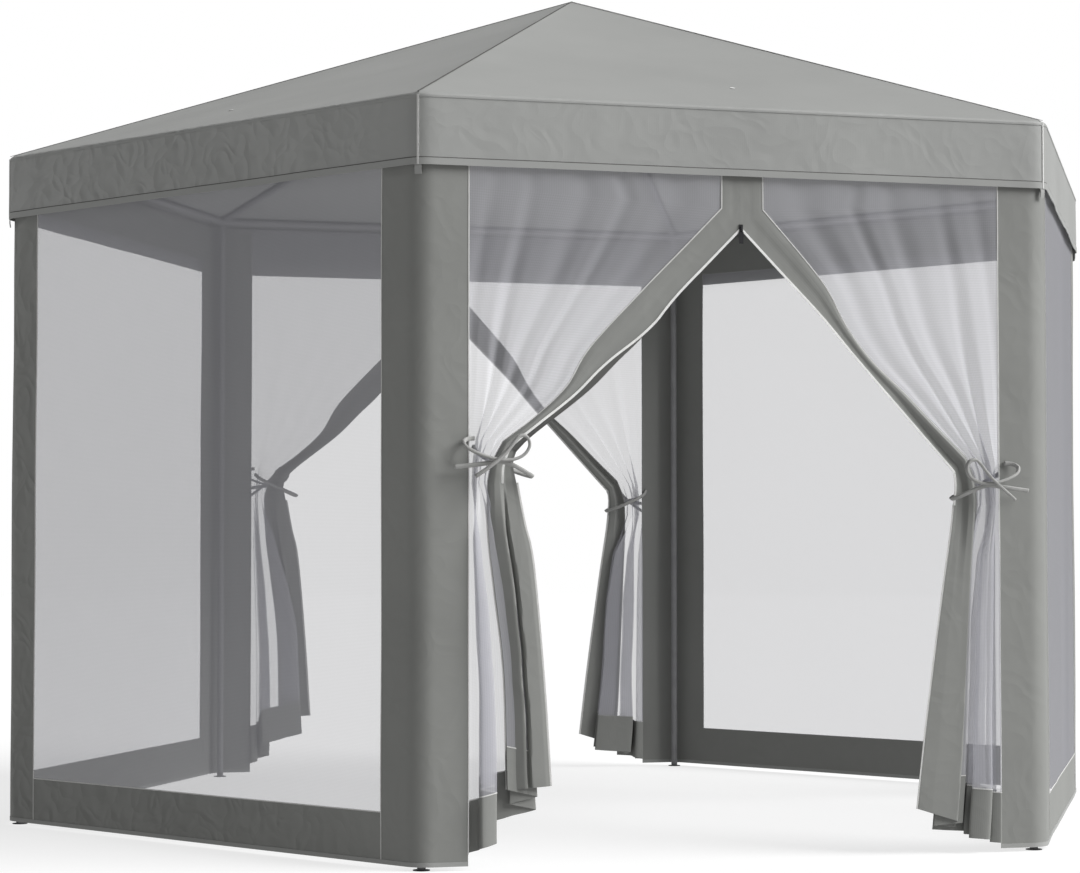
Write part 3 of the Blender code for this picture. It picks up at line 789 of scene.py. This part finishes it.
def build_tails(sizes, door, out, cloth, net, piping):
    """The cloth that hangs below each pair of straps: sewn to the leg band, and free at its zip edge."""
    for name, half in HALVES.items():
        top_z = half["knot"][1] - NECK
        edge, seam = guide([half["tail_edge"]]), guide([half["tail_seam"]])
        leg = guide([((NET_X, top_z), (NET_X, half["tail_leg_z"]))])
        hem_share = 1 - sizes.bottom_band / (top_z - 0.05)
        section = guide([TAIL_NET[name]], 200)

        def band_point(u, v, half=half, edge=edge, seam=seam, name=name):
            meander = u + 0.05 * noise.noise(Vector((v * 7, half["side"], out))) * math.sin(math.pi * u)
            opened = ramp(v, TAIL_OPEN)
            neck = NECK_FOLD_DEPTH * ramp(u, UPPER_BAND_SECTION)
            depth = opened * ramp(meander, TAIL_BAND[name]) + (1 - opened) * neck
            return ruled(half, out, edge, seam, u, v, sizes.fold_depth * depth + 0.0012)

        def net_point(u, v, half=half, seam=seam, leg=leg, section=section):
            across, depth = section(u)
            opened = ramp(v, TAIL_OPEN)
            across += 0.10 * noise.noise(Vector((v * 4, across * 2, half["side"]))) * math.sin(math.pi * u)
            gathered = sizes.fold_depth * TAIL_NET_DEPTH * fold_wave(u, NET_FOLDS, 3)
            return ruled(half, out, seam, leg, u, v, opened * depth / 10 + (1 - opened) * gathered,
                         across=opened * across + (1 - opened) * u)

        outward = Vector((0, out, 0))
        bm = new_bmesh()
        patch(bm, 40, 70, band_point)
        band = make_piece(f"tail_band_{door}_{name}", bm, cloth, CLOTH)
        bm = new_bmesh()
        patch(bm, 260, 60, lambda u, v: net_point(u, v * hem_share))
        sheet = make_piece(f"tail_net_{door}_{name}", bm, net)
        bm = new_bmesh()
        patch(bm, 260, 10, lambda u, v: net_point(u, hem_share + v * (1 - hem_share)))
        foot = make_piece(f"tail_foot_{door}_{name}", bm, cloth, CLOTH)
        bm = new_bmesh()
        strip(bm, [(band_point(1, i / 60), outward) for i in range(61)], sizes.piping, 0.0010)
        strip(bm, [(net_point(1, i / 60), outward) for i in range(61)], sizes.piping, 0.0010)
        strip(bm, [(net_point(i / 260, hem_share), outward) for i in range(261)], sizes.piping, 0.0008)
        cord = make_piece(f"tail_piping_{door}_{name}", bm, piping, 0.0014)
        bm = new_bmesh()
        shift = Vector((-half["side"] * sizes.zip_tape * 0.35, 0, 0))
        strip(bm, [(band_point(0, i / 60) + shift, outward) for i in range(61)], sizes.zip_tape, -0.0012)
        zips = make_piece(f"tail_zip_{door}_{name}", bm, piping, 0.0014)
        for piece in (band, sheet, foot, cord, zips):
            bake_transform(piece)
        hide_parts(f"door_tail_{door}_{name}")


def ribbon(name, path, width, thick, finish):
    """A flat tape along a path, which turns as little as it can, with rounded sides and closed ends."""
    bm = new_bmesh()
    section = 12
    tangents = [(b - a).normalized() for a, b in zip([path[0], *path], [*path[1:], path[-1]])]
    across = Vector((0, 0, 1))
    frames = []
    for tangent in tangents:
        across = (across - tangent * across.dot(tangent)).normalized()
        frames.append((across.copy(), tangent.cross(across)))

    def place(u, v):
        i = min(len(path) - 1, round(v * (len(path) - 1)))
        wide, flat = frames[i]
        angle = 2 * math.pi * u
        side = math.copysign(abs(math.cos(angle)) ** 0.5, math.cos(angle)) * width / 2
        face = math.copysign(abs(math.sin(angle)) ** 0.5, math.sin(angle)) * thick / 2
        return path[i] + wide * side + flat * face

    patch(bm, section, len(path) - 1, place)
    bmesh.ops.remove_doubles(bm, verts=bm.verts, dist=WELD)
    bmesh.ops.holes_fill(bm, edges=[edge for edge in bm.edges if edge.is_boundary], sides=0)
    bmesh.ops.recalc_face_normals(bm, faces=bm.faces)
    return make_piece(name, bm, finish)


def build_straps(finish):
    for door, out in DOORS.items():
        for name, half in HALVES.items():
            knot_x, knot_z = half["knot"]
            for letter, route in (("a", STRAP_A), ("b", STRAP_B)):
                points = [Vector((half["side"] * (knot_x + u), out * (WALL_Y + d), knot_z + w))
                          for u, d, w in route]
                path = smooth_path(points, STRAP_STEP)
                fine = smooth_path(path, STRAP_STEP / 4)
                strap = ribbon(f"tie_{door}_{name}_{letter}", fine, STRAP_WIDTH, STRAP_THICK, finish)
                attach(strap, "root")
                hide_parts(f"strap_{door}_{name}_{letter}")
                round(length_of(path), 2)
                [tuple(p) for p in path]


# Name, azimuth, elevation and spread in degrees, strength
LAMPS = (("key", -28, 37, 40, 4.3), ("rim", 135, 25, 6, 0.3))
AMBIENT = 0.19
BOUNCE = 0.34  # what a white studio floor throws back up into the shade
FLOOR_GLOW = 0.73  # with the lamps' light on the floor, this shows it white
THROUGH_NET = 0.6
LAMP_DISTANCE = 12


def white_to(tree):
    """1 for what is seen directly and less for what glows through net, so the studio is white and leaves shade."""
    path = add_node(tree, "ShaderNodeLightPath")
    dim = add_node(tree, "ShaderNodeMath", {0: path.outputs["Is Transmission Ray"], 1: THROUGH_NET},
                   operation="MULTIPLY")
    both = add_node(tree, "ShaderNodeMath", {0: path.outputs["Is Camera Ray"], 1: dim.outputs[0]},
                    operation="MAXIMUM")
    return both.outputs[0]


def build_stage():
    scene = bpy.context.scene
    bm = bmesh.new()
    bmesh.ops.create_circle(bm, cap_ends=True, radius=40, segments=64)
    mesh = bpy.data.meshes.new("floor")
    bm.to_mesh(mesh)
    bm.free()
    floor = bpy.data.objects.new("floor", mesh)
    scene.collection.objects.link(floor)
    made, tree = new_material("studio_floor")
    shader = shader_of(tree)
    shader.inputs["Base Color"].default_value = (0.25, 0.25, 0.25, 1)
    shader.inputs["Roughness"].default_value = 0.9
    shader.inputs["Emission Color"].default_value = (1, 1, 1, 1)
    glow = add_node(tree, "ShaderNodeMix", {0: white_to(tree), 2: BOUNCE, 3: FLOOR_GLOW}, data_type="FLOAT")
    tree.links.new(glow.outputs[0], shader.inputs["Emission Strength"])
    mesh.materials.append(made)

    world = bpy.data.worlds.new("studio")
    scene.world = world
    world.use_nodes = True
    tree = world.node_tree
    tree.nodes.clear()
    light = add_node(tree, "ShaderNodeMix", {0: white_to(tree), 2: AMBIENT, 3: 1.0}, data_type="FLOAT")
    sky = add_node(tree, "ShaderNodeBackground", {"Color": (1, 1, 1, 1), "Strength": light.outputs[0]})
    add_node(tree, "ShaderNodeOutputWorld", {"Surface": sky.outputs[0]})

    for name, azimuth, elevation, spread, strength in LAMPS:
        lamp = bpy.data.lights.new(name, "SUN")
        lamp.angle = math.radians(spread)
        lamp.energy = strength
        obj = bpy.data.objects.new(name, lamp)
        place = Vector((math.cos(math.radians(azimuth)), math.sin(math.radians(azimuth)),
                        math.tan(math.radians(elevation)))) * LAMP_DISTANCE
        obj.location = place
        obj.rotation_euler = place.to_track_quat("Z", "Y").to_euler()
        scene.collection.objects.link(obj)

    lens = bpy.data.cameras.new("camera")
    lens.lens = CAMERA_LENS
    lens.sensor_fit = "HORIZONTAL"
    camera = bpy.data.objects.new("camera", lens)
    camera.location = CAMERA_PLACE
    camera.rotation_euler = (math.pi / 2 + CAMERA_PITCH, 0, CAMERA_YAW)
    scene.collection.objects.link(camera)
    scene.camera = camera
    scene.view_settings.view_transform = "Standard"


def settings(context):
    return context.scene.screen_house_sizes, context.scene.screen_house_colours


class SCREENHOUSE_OT_stage(Operator):
    """Add the floor, the soft lights and the camera"""

    bl_idname = "screenhouse.stage"
    bl_label = "Stage"

    def execute(self, context):
        build_stage()
        return {"FINISHED"}


class SCREENHOUSE_OT_straps(Operator):
    """Tie the straps round each gathered door half"""

    bl_idname = "screenhouse.straps"
    bl_label = "Straps"

    def execute(self, context):
        colours = settings(context)[1]
        build_straps(tape("folded polyester tape", colours.strap, 0.0026))
        return {"FINISHED"}


def finishes(colours):
    """The cloth work's materials by their maker's names."""
    return {
        "roof": coated_polyester("coated polyester oxford", colours.roof, 0.55, 0.70),
        # The roof's polyester drawn darker for the bands: painted shade
        "wall": coated_polyester("coated polyester band in painted shade", colours.wall, 0.58, 0.60),
        "hem": coated_polyester("coated polyester hem", colours.roof, 0.70, 0.10),
        # Band cloth in the dark seam colour, laid over the left door band as painted shade
        "painted_shade_finish": coated_polyester("coated polyester painted shade", colours.seam, 0.45, 0.38),
        # The seams' thread and their painted shadow, in one dark colour
        "seam": tape("seam thread and painted shadow", colours.seam, 0.0026),
        "net": insect_net("knitted polyester net", colours.net),
        "piping": tape("polyester piping", colours.piping, 0.0026),
        "zip": tape("woven zip tape with nylon coil", colours.zip_tape, 0.0032),
    }


class SCREENHOUSE_OT_roof(Operator):
    """Sew the roof and its valance and stretch them over the frame"""

    bl_idname = "screenhouse.roof"
    bl_label = "Roof"

    def execute(self, context):
        sizes, colours = settings(context)
        cloth = finishes(colours)
        build_roof(sizes, cloth["roof"], cloth["hem"], cloth["seam"], cloth["piping"])
        build_eyelets(sizes, cloth["zip"])
        return {"FINISHED"}


class SCREENHOUSE_OT_walls(Operator):
    """Hang the corner bands and the four net walls"""

    bl_idname = "screenhouse.walls"
    bl_label = "Walls"

    def execute(self, context):
        sizes, colours = settings(context)
        cloth = finishes(colours)
        build_corner_bands(sizes, cloth["wall"], cloth["hem"])
        build_net_walls(sizes, cloth["net"], cloth["wall"], cloth["hem"], cloth["piping"])
        return {"FINISHED"}


class SCREENHOUSE_OT_doors(Operator):
    """Hang both doors and gather their halves into the straps"""

    bl_idname = "screenhouse.doors"
    bl_label = "Doors"

    def execute(self, context):
        sizes, colours = settings(context)
        cloth = finishes(colours)
        for door, out in DOORS.items():
            build_door_upper(sizes, door, out, cloth["wall"], cloth["net"], cloth["piping"], cloth["zip"],
                             cloth["painted_shade_finish"])
            build_tails(sizes, door, out, cloth["wall"], cloth["net"], cloth["piping"])
        return {"FINISHED"}


class SCREENHOUSE_OT_frame(Operator):
    """Finish the steel tubes, feet and zip metal"""

    bl_idname = "screenhouse.frame"
    bl_label = "Frame"

    def execute(self, context):
        colours = settings(context)[1]
        by_slot = {
            "steel_tube": powder_coat("powder-coated steel", colours.steel, 0.42, 0.0, 0.002),
            "foot_nylon": powder_coat("moulded nylon", colours.nylon, 0.50, 0.0, 0.001),
            "zip_metal": powder_coat("lacquered zinc", colours.zinc, 0.35, 0.7, 0.0008),
        }
        for row in frame["record"]["subparts"]:
            finish = by_slot.get(row["material_slot"])
            if finish:
                obj = bpy.data.objects[row["node"]]
                obj.data.materials.clear()
                obj.data.materials.append(finish)
        return {"FINISHED"}


PARTS = (SCREENHOUSE_OT_stage, SCREENHOUSE_OT_straps, SCREENHOUSE_OT_roof, SCREENHOUSE_OT_walls,
         SCREENHOUSE_OT_doors, SCREENHOUSE_OT_frame)


class SCREENHOUSE_PT_parts(Panel):
    """The screen house's pieces and settings"""

    bl_idname = "SCREENHOUSE_PT_parts"
    bl_label = "Screen House"
    bl_space_type = "VIEW_3D"
    bl_region_type = "UI"
    bl_category = "Screen House"

    def draw(self, context):
        for group in settings(context):
            for name in type(group).__annotations__:
                self.layout.prop(group, name)
        for part in PARTS:
            self.layout.operator(part.bl_idname)


CLASSES = (ScreenHouseSizes, ScreenHouseColours, *PARTS, SCREENHOUSE_PT_parts)


def register():
    for cls in CLASSES:
        bpy.utils.register_class(cls)
    bpy.types.Scene.screen_house_sizes = PointerProperty(type=ScreenHouseSizes)
    bpy.types.Scene.screen_house_colours = PointerProperty(type=ScreenHouseColours)


def unregister():
    del bpy.types.Scene.screen_house_colours
    del bpy.types.Scene.screen_house_sizes
    for cls in reversed(CLASSES):
        bpy.utils.unregister_class(cls)


def main():
    register()
    for part in PARTS:
        group, name = part.bl_idname.split(".")
        getattr(getattr(bpy.ops, group), name)()


if __name__ == "__main__":
    main()
